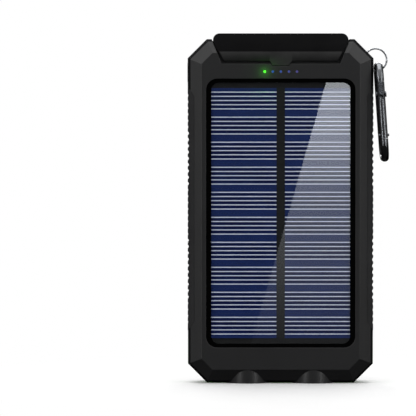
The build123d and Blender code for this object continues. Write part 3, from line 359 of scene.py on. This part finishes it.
FINISHES = {
    # Its colour is painted near black in the slot round the port cover, as painted shade.
    "shell_black": moulded(
        "moulded_black", "1b1b1c", "1f1f20", 0.16 * MM, 0.005 * MM, (0.34, 0.44), painted_shade=cover_seat_shade
    ),
    "frame_black": moulded("frame_plastic", "1c1c1d", "232324", 0.16 * MM, 0.005 * MM, (0.4, 0.5)),
    "accent_green": moulded(
        "green_band", "4fae16", "5ebd22", 0.2 * MM, 0.003 * MM, (0.26, 0.36), wear="8fd85a", wear_share=0.3
    ),
    "grip_rubber": moulded(
        "grip_elastomer", "29292a", "303031", 0.12 * MM, 0.008 * MM, (0.6, 0.75), wear="3c3c3c",
        Specular_IOR_Level=0.2,
    ),
    "cover_rubber": port_rubber("cover_silicone"),
    # The ring round the panel is near pure black, with almost no gloss.
    "gasket_black": moulded(
        "gasket_near_black", "020202", "050505", 0.1 * MM, 0.004 * MM, (0.8, 0.92), wear="070707",
        Specular_IOR_Level=0.02,
    ),
    "panel_clear": clear_sheet("clear_window", "fbfcff", (0.001, 0.004), 1.7, OUT),
    "panel_board": moulded(
        "panel_laminate", "1c1c1a", "22221f", 0.3 * MM, 0.001 * MM, (0.4, 0.5), Specular_IOR_Level=0.2
    ),
    "cell_blue": silicon("silicon_strips"),
    "pipe_green": glowing("lit_green_pipe", "3af41c", 1.7, core="6cff48"),
    "pipe_blue": idle_pipes("idle_blue_pipes"),
    "circuit_board": board_resin("board_green", "123c22", "2c6b3c"),
    "socket_steel": metal("nickel_shell", "9b9ea2", "b9bcc0", (0.22, 0.36), brush=(1, 1, 0.1)),
    "tongue_plastic": moulded(
        "tongue_nylon", "d9dadc", "e6e7e8", 0.2 * MM, 0.002 * MM, (0.4, 0.5), wear="f2f2f2"
    ),
    "chip_black": moulded("chip_epoxy", "18181a", "202022", 0.08 * MM, 0.003 * MM, (0.45, 0.6)),
    "ferrite_grey": moulded("ferrite", "4a4b4e", "5a5b5e", 0.1 * MM, 0.006 * MM, (0.6, 0.75), wear="77787a"),
    "ceramic_tan": moulded("ceramic", "8a6a45", "9c7a52", 0.1 * MM, 0.003 * MM, (0.4, 0.55), wear="b99a70"),
    "emitter_white": glowing("lit_emitter", "f4f8ff", 6.0, "f0f0e4"),
    "switch_steel": metal("switch_plate", "a4a5a8", "c2c3c6", (0.3, 0.42)),
    "button_black": moulded("button_plastic", "1b1b1c", "232324", 0.12 * MM, 0.004 * MM, (0.35, 0.45)),
    "pouch_foil": crinkled("cell_pouch", "a9adb2", "cfd2d6", 5 * MM, 0.12 * MM, (0.28, 0.42), 0.9),
    "foam_grey": crinkled("foam_sheet", "3f4042", "55565a", 0.5 * MM, 0.08 * MM, (0.85, 0.95), 0.0),
    "wire_red": moulded("wire_sleeve", "a01a14", "b5241c", 0.4 * MM, 0.002 * MM, (0.35, 0.45), wear="d0483c"),
    "reflector_chrome": metal("vacuum_chrome", "e2e4e6", "f2f3f4", (0.04, 0.1), size=0.35 * MM),
    "lens_clear": clear_sheet("torch_lens", "f8fbff", (0.02, 0.06)),
    "seal_rubber": moulded("seal", "121212", "181818", 0.1 * MM, 0.003 * MM, (0.55, 0.7), wear="202020"),
    "screw_steel": metal("zinc_screw", "8d9094", "a9acb0", (0.25, 0.4)),
    "ring_steel": metal("ring_wire", "a6a9ad", "d0d3d6", (0.22, 0.3), brush=(1, 0.2, 1)),
    "carabiner_black": metal("black_nickel", "66686b", "727477", (0.2, 0.24), depth=0.00005 * MM),
    "rivet_steel": metal("rivet_head", "45474a", "5c5e62", (0.2, 0.32)),
    "spring_steel": metal("spring_wire", "8f9296", "b0b3b7", (0.2, 0.3)),
}

for node in NODES.values():
    for holder in node.material_slots:
        holder.material = FINISHES[holder.material.name]


# ------------------------------------------------------------------ rounded edges on the CAD pieces
SHARP = 26                        # degrees between faces whose shared edge is rounded
SHARP_ON_SHELL = 16               # less on the shells, so that their corner facets stay crisp


def round_edges(node, width, angle):
    """Closes the imported mesh's seams and rounds its sharp edges, as a mould's edges are."""
    obj = NODES[node]
    weld = obj.modifiers.new("weld", "WELD")
    weld.merge_threshold = 0.001 * MM
    flats = obj.modifiers.new("flats", "DECIMATE")
    flats.decimate_type = "DISSOLVE"
    flats.angle_limit = math.radians(0.6)
    bevel = obj.modifiers.new("rounded", "BEVEL")
    bevel.width = width
    bevel.segments = 2
    bevel.limit_method = "ANGLE"
    bevel.angle_limit = math.radians(angle)
    bevel.use_clamp_overlap = False
    bevel.loop_slide = False
    shading = obj.modifiers.new("shading", "WEIGHTED_NORMAL")
    shading.weight = 80


for name, width in {
    "front_shell": 0.12, "rear_shell": 0.12, "accent_band": 0.18, "upper_frame": 0.16, "port_cover": 0.15,
    "cover_anchor": 0.2, "power_button": 0.2, "panel_gasket": 0.12, "usb_a_left": 0.06, "usb_a_right": 0.06,
    "grip_left": 0.1, "grip_right": 0.1,
}.items():
    round_edges(name, width * MM, SHARP_ON_SHELL if name.endswith("shell") else SHARP)


# ------------------------------------------------------------------ new pieces
def new_piece(name, mesh, body, slot, stands_for=(), smooth=True):
    """Turns a bmesh into a piece that rides on a body, with the finish of a material slot."""
    data = bpy.data.meshes.new(name)
    bmesh.ops.recalc_face_normals(mesh, faces=mesh.faces)
    mesh.to_mesh(data)
    mesh.free()
    for face in data.polygons:
        face.use_smooth = smooth
    piece = bpy.data.objects.new(name, data)
    bpy.context.scene.collection.objects.link(piece)
    data.materials.append(FINISHES[slot])
    if body:
        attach(piece, body)
    if stands_for:
        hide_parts(*stands_for)
    return piece


def add_sleeve(mesh, rings, closed=False):
    """Skins a row of equal loops of points; the ends are capped unless the row closes on itself."""
    loops = [[mesh.verts.new(p) for p in ring] for ring in rings]
    pairs = list(zip(loops, loops[1:] + loops[:1])) if closed else list(zip(loops, loops[1:]))
    for first, second in pairs:
        for i in range(len(first)):
            j = (i + 1) % len(first)
            mesh.faces.new((first[i], first[j], second[j], second[i]))
    if not closed:
        mesh.faces.new(list(reversed(loops[0])))
        mesh.faces.new(loops[-1])


def rounded_rectangle(width, height, radius, steps=8):
    """Points round a rectangle with round corners, about its middle."""
    points = []
    for quarter in range(4):
        turn = quarter * math.pi / 2
        sx = 1 if quarter in (0, 3) else -1
        sz = 1 if quarter in (0, 1) else -1
        centre = Vector((sx * (width / 2 - radius), sz * (height / 2 - radius)))
        for i in range(steps + 1):
            a = turn + i / steps * math.pi / 2
            points.append(centre + radius * Vector((math.cos(a), math.sin(a))))
    return points


def oval(half_a, half_b, power=2.4, count=14):
    """Points round a soft-cornered oval section."""
    points = []
    for i in range(count):
        a = 2 * math.pi * i / count
        c, s = math.cos(a), math.sin(a)
        points.append((
            math.copysign(abs(c) ** (2 / power), c) * half_a,
            math.copysign(abs(s) ** (2 / power), s) * half_b,
        ))
    return points


def window_sheet():
    """The panel's clear sheet: flat, with a rolled edge all round, standing a little off the cells."""
    edge = 0.04 * MM
    corner = 3.0 * MM
    back, front = CELL_FACE - 0.06 * MM, low("panel_window").y
    profile = [(0.0, back), (0.0, front + edge)]
    for i in range(1, 7):
        a = i / 6 * math.pi / 2
        profile.append((edge * (1 - math.cos(a)), front + edge * (1 - math.sin(a))))
    mesh = bmesh.new()
    rings = []
    for inset, y in profile:
        outline = rounded_rectangle(
            PANEL_SIZE.x - 2 * inset, PANEL_SIZE.z - 2 * inset, corner - inset
        )
        rings.append([(PANEL_MID.x + p.x, y, PANEL_MID.z + p.y) for p in outline])
    add_sleeve(mesh, rings)
    return new_piece("window_sheet", mesh, "case", "panel_clear", ["panel_window"], smooth=False)


def finger_lines():
    """Five printed conductor lines across each silicon strip, each a low rounded ridge."""
    width, height, pitch = 0.45 * MM, 0.02 * MM, 1.69 * MM
    columns = (-(CELL_HIGH.x - STRIP_LENGTH / 2), CELL_HIGH.x - STRIP_LENGTH / 2)
    section = [(-0.5, -0.4), (-0.42, 0.5), (-0.2, 0.9), (0.2, 0.9), (0.42, 0.5), (0.5, -0.4)]
    mesh = bmesh.new()
    for column in columns:
        for row in range(CELL_ROWS):
            strip_z = CELL_LOW.z + STRIP_HEIGHT / 2 + row * STRIP_PITCH
            for line in range(-2, 3):
                z = strip_z + line * pitch
                ends = (column - STRIP_LENGTH / 2 + 0.02 * MM, column + STRIP_LENGTH / 2 - 0.02 * MM)
                rings = [[(x, CELL_FACE - height * b, z + width * a) for a, b in section] for x in ends]
                add_sleeve(mesh, rings)
    piece = new_piece("finger_lines", mesh, "case", "socket_steel", smooth=False)
    f = Finish("printed_silver", Roughness=0.45, Specular_IOR_Level=0.4)
    grain = f.noise(0.5 * MM, detail=3, stretch=(0.3, 1, 1))
    f.feed("Base Color", f.blend(f.spread(grain, 0.0, 1.0), linear("dbe3f5"), linear("f0f4fb")))
    f.feed("Normal", f.relief(f.noise(0.1 * MM), 0.002 * MM))
    piece.data.materials[0] = f.material
    return piece


def coil(mesh, centre, across, up, radius, turns, rise, section, steps):
    """A wire wound about an axis; across and up span its plane and rise(t) is its place along the axis."""
    axis = across.cross(up).normalized()
    rings = []
    for i in range(steps + 1):
        t = i / steps
        a = 2 * math.pi * turns * t
        outward = across * math.cos(a) + up * math.sin(a)
        heart = centre + outward * radius + axis * rise(t)
        rings.append([heart + outward * u + axis * v for u, v in section])
    add_sleeve(mesh, rings)


def smooth_step(t):
    t = min(1.0, max(0.0, t))
    return t * t * (3 - 2 * t)


def split_ring():
    """Key ring of flattened wire: two turns lying on each other, with one step across."""
    lowest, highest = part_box("split_ring")
    centre = (lowest + highest) / 2
    half_width = (highest.y - lowest.y) / 2
    wire = (0.36 * MM, half_width / 2 - 0.01 * MM)
    radius = (highest.x - lowest.x) / 2 - wire[0] - 0.2 * MM
    turns = 1.93

    def rise(t):
        return half_width / 2 * (2 * smooth_step((t * turns - 0.8) / 0.32) - 1)

    start = Vector((math.cos(math.radians(200)), 0, math.sin(math.radians(200))))
    mesh = bmesh.new()
    coil(mesh, centre, start, Vector((start.z, 0, -start.x)), radius, turns, rise, oval(*wire, power=3), 150)
    return new_piece("split_ring_wire", mesh, "ring", "ring_steel", ["split_ring"])


def gate_coil():
    """Small compression spring inside the gate, in place of its plain rod."""
    lowest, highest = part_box("gate_spring")
    mid = (lowest + highest) / 2
    lean = math.radians(4)
    along = Vector((math.sin(lean), 0, -math.cos(lean)))
    side = Vector((math.cos(lean), 0, math.sin(lean)))
    length = (highest.z - lowest.z) / math.cos(lean) * 0.92
    wire = 0.07 * MM
    radius = (highest.y - lowest.y) / 2 - 1.5 * wire
    mesh = bmesh.new()
    up = along.cross(side)
    coil(mesh, mid, side, up, radius, 9, lambda t: (t - 0.5) * length, oval(wire, wire, 2, 8), 180)
    return new_piece("gate_coil", mesh, "gate", "spring_steel", ["gate_spring"])


def socket_contacts():
    """Four gold contacts on each wide tongue, with tips turned down at the mouth."""
    mouth = high("socket_tongues").z - 0.4 * MM
    face = middle("usb_a_left").y + 0.5 * MM
    mesh = bmesh.new()
    for socket in ("usb_a_left", "usb_a_right"):
        for offset, length in ((-3.5, 6.4), (-1.0, 5.6), (1.0, 5.6), (3.5, 6.4)):
            x = middle(socket).x + offset * MM
            rings = []
            for z, proud, half in (
                (mouth, 0.02, 0.36), (mouth - 0.5 * MM, 0.09, 0.45), (mouth - 1.2 * MM, 0.12, 0.5),
                (mouth - length * MM, 0.1, 0.5),
            ):
                y = face - proud * MM
                rings.append([
                    (x - half * MM, face + 0.1 * MM, z), (x + half * MM, face + 0.1 * MM, z),
                    (x + half * MM, y + 0.03 * MM, z), (x + 0.8 * half * MM, y, z),
                    (x - 0.8 * half * MM, y, z), (x - half * MM, y + 0.03 * MM, z),
                ])
            add_sleeve(mesh, rings)
    piece = new_piece("socket_contacts", mesh, "case", "socket_steel")
    piece.data.materials[0] = metal("gold_contact", "c79a45", "e0b860", (0.2, 0.3), brush=(1, 1, 0.2))
    return piece


def cover_strap():
    """Thin rubber strap from the anchor in the rear shell to the lip of the port cover."""
    half_width, half_thick = 6.5 * MM, 0.28 * MM
    anchor_top = high("cover_anchor").z
    route = [
        Vector((6.75, -0.9)), Vector((6.85, -0.2)), Vector((7.2, 0.4)), Vector((7.42, 0.85)),
        Vector((7.3, 1.25)), Vector((6.95, 1.42)), Vector((6.5, 1.45)),
    ]
    route = [Vector((p.x * MM, anchor_top + p.y * MM)) for p in route]
    mesh = bmesh.new()
    rings = []
    for i, point in enumerate(route):
        ahead = route[min(i + 1, len(route) - 1)] - route[max(i - 1, 0)]
        across = Vector((ahead.y, -ahead.x)).normalized()
        waist = 1 - 0.12 * math.sin(math.pi * i / (len(route) - 1))
        rings.append([
            (u * waist, point.x + across.x * v, point.y + across.y * v)
            for u, v in oval(half_width, half_thick, power=6, count=24)
        ])
    add_sleeve(mesh, rings)
    piece = new_piece("cover_strap", mesh, None, "cover_rubber")
    smoothing = piece.modifiers.new("smooth", "SUBSURF")
    smoothing.levels = smoothing.render_levels = 2
    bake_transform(piece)
    return piece


def rear_cross_bars():
    """Fine bars between the ribs of the torch-end zone on the rear face, level with one another."""
    half, clip_x, clip_z = 24.0 * MM, 6.0 * MM, 5.4 * MM
    foot, shoulder = 17.6 * MM, 35.3 * MM
    pitch, width = 1.5 * MM, 0.45 * MM
    floor_y, crest_y = REAR_Y - 1.15 * MM, REAR_Y - 0.6 * MM
    section = [(-0.5, 0.0), (-0.5, 0.7), (-0.3, 1.0), (0.3, 1.0), (0.5, 0.7), (0.5, 0.0)]
    mesh = bmesh.new()
    for i in range(int((shoulder - foot) / pitch)):
        z = foot + (i + 0.75) * pitch
        share = max(0.0, 1 - (z - width / 2 - foot) / clip_z)
        end = half - clip_x * share - 0.05 * MM
        rings = [
            [(x, floor_y + (crest_y - floor_y) * b, z + width * a) for a, b in section]
            for x in (-end, end)
        ]
        add_sleeve(mesh, rings)
    return new_piece("rear_cross_bars", mesh, "case", "shell_black", smooth=False)


window_sheet()
finger_lines()
split_ring()
gate_coil()
socket_contacts()
cover_strap()
rear_cross_bars()


# ------------------------------------------------------------------ camera
VIEW_X, VIEW_Z = -29.3 * MM, 70.9 * MM       # where the view's middle meets the front face
VIEW_WIDTH = 167.5 * MM                      # what the view spans there
CAMERA_AWAY = 1.5
CAMERA_RISE = math.radians(2.0)

target = Vector((VIEW_X, FACE_Y, VIEW_Z))
toward = Vector((0, -math.cos(CAMERA_RISE), math.sin(CAMERA_RISE)))
camera = bpy.data.objects.new("camera", bpy.data.cameras.new("camera"))
bpy.context.scene.collection.objects.link(camera)
camera.location = target + toward * CAMERA_AWAY
camera.rotation_mode = "QUATERNION"
camera.rotation_quaternion = (-toward).to_track_quat("-Z", "Y")
camera.data.lens = camera.data.sensor_width * CAMERA_AWAY / VIEW_WIDTH
bpy.context.scene.camera = camera


# ------------------------------------------------------------------ light
def tree_of(owner):
    owner.use_nodes = True
    owner.node_tree.nodes.clear()
    return owner.node_tree


def faded(tree, source, start, end):
    """1 where the source is past end, 0 before start, whichever way round they lie."""
    fade = tree.nodes.new("ShaderNodeMapRange")
    fade.inputs["From Min"].default_value = min(start, end)
    fade.inputs["From Max"].default_value = max(start, end)
    fade.inputs["To Min"].default_value = 0.0 if start < end else 1.0
    fade.inputs["To Max"].default_value = 1.0 if start < end else 0.0
    tree.links.new(source, fade.inputs["Value"])
    return fade.outputs["Result"]


def combined(tree, operation, first, second, third=0.0):
    """A sum on sockets and numbers in the world's tree."""
    node = tree.nodes.new("ShaderNodeMath")
    node.operation = operation
    for socket, value in zip(node.inputs, (first, second, third)):
        if isinstance(value, float):
            socket.default_value = value
        else:
            tree.links.new(value, socket)
    return node.outputs["Value"]


def studio_world():
    """Pale dome: bright overhead, dim below the horizon, with a dark gap where the camera stands.
    What the camera sees straight behind the object is plain white."""
    world = bpy.data.worlds.new("studio")
    tree = tree_of(world)
    nodes, link = tree.nodes, tree.links.new
    place = nodes.new("ShaderNodeTexCoord")
    split = nodes.new("ShaderNodeSeparateXYZ")
    link(place.outputs["Generated"], split.inputs["Vector"])
    height = nodes.new("ShaderNodeMapRange")
    height.inputs["From Min"].default_value = -1
    link(split.outputs["Z"], height.inputs["Value"])
    ramp = nodes.new("ShaderNodeValToRGB")
    ramp.color_ramp.interpolation = "EASE"
    ramp.color_ramp.elements.remove(ramp.color_ramp.elements[1])
    ramp.color_ramp.elements[0].position = 0.0
    ramp.color_ramp.elements[0].color = (0.03, 0.03, 0.03, 1)
    for at, level in ((0.44, 0.04), (0.54, 0.4), (0.72, 0.8), (1.0, 1.0)):
        ramp.color_ramp.elements.new(at).color = (level, level, level, 1)
    link(height.outputs["Result"], ramp.inputs["Fac"])
    gap = nodes.new("ShaderNodeMapRange")
    for socket, value in (("From Min", -0.995), ("From Max", -0.95), ("To Min", 0.05), ("To Max", 1.0)):
        gap.inputs[socket].default_value = value
    link(split.outputs["Y"], gap.inputs["Value"])
    # dark flags behind the object on both sides, up to well above it
    aside = combined(tree, "ABSOLUTE", split.outputs["X"], 0.0)
    flags = combined(
        tree, "MULTIPLY", faded(tree, aside, 0.15, 0.36), faded(tree, split.outputs["Z"], 0.8, 0.55)
    )
    flags = combined(tree, "MULTIPLY", flags, faded(tree, split.outputs["Y"], 0.1, 0.35))
    kept = combined(tree, "MULTIPLY_ADD", flags, -0.95, 1.0)
    level = combined(tree, "MULTIPLY", kept, gap.outputs["Result"])
    dome = nodes.new("ShaderNodeBackground")
    link(ramp.outputs["Color"], dome.inputs["Color"])
    link(level, dome.inputs["Strength"])
    seen = nodes.new("ShaderNodeBackground")
    seen.inputs["Color"].default_value = (1, 1, 1, 1)
    rays = nodes.new("ShaderNodeLightPath")
    mix = nodes.new("ShaderNodeMixShader")
    link(rays.outputs["Is Camera Ray"], mix.inputs["Fac"])
    link(dome.outputs["Background"], mix.inputs[1])
    link(seen.outputs["Background"], mix.inputs[2])
    out = nodes.new("ShaderNodeOutputWorld")
    link(mix.outputs["Shader"], out.inputs["Surface"])
    return world


def area_light(name, place, aim, size, power, colour=(1, 1, 1)):
    """A softbox at a place, aimed at a point."""
    lamp = bpy.data.lights.new(name, "AREA")
    lamp.shape = "RECTANGLE"
    lamp.size, lamp.size_y = size
    lamp.energy = power
    lamp.color = colour
    holder = bpy.data.objects.new(name, lamp)
    bpy.context.scene.collection.objects.link(holder)
    holder.location = place
    holder.rotation_mode = "QUATERNION"
    holder.rotation_quaternion = (Vector(aim) - Vector(place)).to_track_quat("-Z", "Y")
    return holder


def strip_light(name, azimuth, power):
    """A tall narrow softbox standing in front of the object, off to one side."""
    a = math.radians(azimuth)
    place = Vector((1.3 * math.sin(a), -1.3 * math.cos(a), 0.1))
    return area_light(name, place, (0, 0, 0.1), (0.12, 0.9), power)


def soft_light(name, azimuth, power):
    """A large softbox, above the object's height and aimed down at it."""
    a = math.radians(azimuth)
    place = Vector((1.5 * math.sin(a), -1.5 * math.cos(a), 0.75))
    return area_light(name, place, (0, 0, 0.07), (0.45, 0.9), power)


bpy.context.scene.world = studio_world()
strip_light("strip_left", -38, 2.7)
strip_light("strip_right", 38, 2.7)
area_light("overhead", (0, 0.2, 1.5), (0, 0, 0), (1.4, 1.4), 14.5)
for azimuth, power in ((-62, 2.2), (62, 2.2), (-168, 9), (168, 9)):
    soft_light(f"softbox_{azimuth}", azimuth, power)

indicator = middle("indicator_pipe_green")
glow = bpy.data.lights.new("indicator_glow", "POINT")
glow.energy = 0.0014
glow.color = (0.12, 1.0, 0.04)
glow.shadow_soft_size = 0.4 * MM
glow_holder = bpy.data.objects.new("indicator_glow", glow)
bpy.context.scene.collection.objects.link(glow_holder)
glow_holder.visible_glossy = False
glow_holder.location = (indicator.x, FACE_Y - 1.8 * MM, indicator.z)


# ------------------------------------------------------------------ floor and reflection card
def staged(name, corners, faces):
    data = bpy.data.meshes.new(name)
    data.from_pydata(corners, [], faces)
    card = bpy.data.objects.new(name, data)
    bpy.context.scene.collection.objects.link(card)
    return card


def floor():
    """Pale floor that fades into the white background away from the object."""
    reach = 6.0
    plane = staged(
        "floor", [(-reach, -reach, 0), (reach, -reach, 0), (reach, reach, 0), (-reach, reach, 0)],
        [(0, 1, 2, 3)],
    )
    plane.visible_glossy = False
    plane.visible_diffuse = False
    f = Finish("pale_floor", Roughness=0.6, Specular_IOR_Level=0.0)
    dust = f.noise(40 * MM, detail=3)
    f.feed("Base Color", f.blend(f.spread(dust, 0.0, 1.0), (0.71, 0.71, 0.71, 1), (0.74, 0.74, 0.74, 1)))
    away = f.add("ShaderNodeVectorMath", operation="LENGTH")
    f.join(f.place, away.inputs[0])
    white = f.add("ShaderNodeEmission")
    mix = f.add("ShaderNodeMixShader")
    f.join(f.spread(away.outputs["Value"], 0.0, 1.0, 0.02, 0.14), mix.inputs["Fac"])
    f.join(f.shader.outputs["BSDF"], mix.inputs[1])
    f.join(white.outputs["Emission"], mix.inputs[2])
    f.join(mix.outputs["Shader"], f.output.inputs["Surface"])
    plane.data.materials.append(f.material)
    return plane


def mirrored_place(x, z, away):
    """Where a point must stand, away metres in front of the window, to be seen in it at (x, z)."""
    glass = Vector((x, low("panel_window").y, z))
    ray = glass - camera.location
    step = away / ray.y
    return Vector((x + ray.x * step, glass.y - away, z + ray.z * step))


def glare_card():
    """Slanted softbox panel that the window mirrors, brightest at its top."""
    away = 1.0
    right = 40 * MM
    top, foot = 124 * MM, 12 * MM
    top_x, foot_x = 18.9 * MM, -13.1 * MM
    corners = [
        mirrored_place(foot_x, foot, away), mirrored_place(right, foot, away),
        mirrored_place(right, top, away), mirrored_place(top_x, top, away),
    ]
    card = staged("glare_card", corners, [(0, 1, 2, 3)])
    card.visible_camera = False
    card.visible_diffuse = False
    card.visible_shadow = False
    f = Finish("card_light")
    light = f.add("ShaderNodeEmission")
    ramp = f.add("ShaderNodeValToRGB")
    ramp.color_ramp.interpolation = "LINEAR"
    ramp.color_ramp.elements[0].color = (0.0, 0.0, 0.0, 1)
    ramp.color_ramp.elements[1].color = (0.9, 0.94, 1, 1)
    for at, level in ((0.15, 0.05), (0.4, 0.15), (0.6, 0.35), (0.8, 0.8)):
        ramp.color_ramp.elements.new(at).color = (0.9 * level, 0.94 * level, level, 1)
    f.join(f.spread(f.axis("Z"), 0.0, 1.0, corners[0].z, corners[2].z), ramp.inputs["Fac"])
    f.join(ramp.outputs["Color"], light.inputs["Color"])
    light.inputs["Strength"].default_value = 5.6
    f.join(light.outputs["Emission"], f.output.inputs["Surface"])
    card.data.materials.append(f.material)
    return card


floor()
glare_card()

bpy.context.scene.view_settings.view_transform = "Standard"
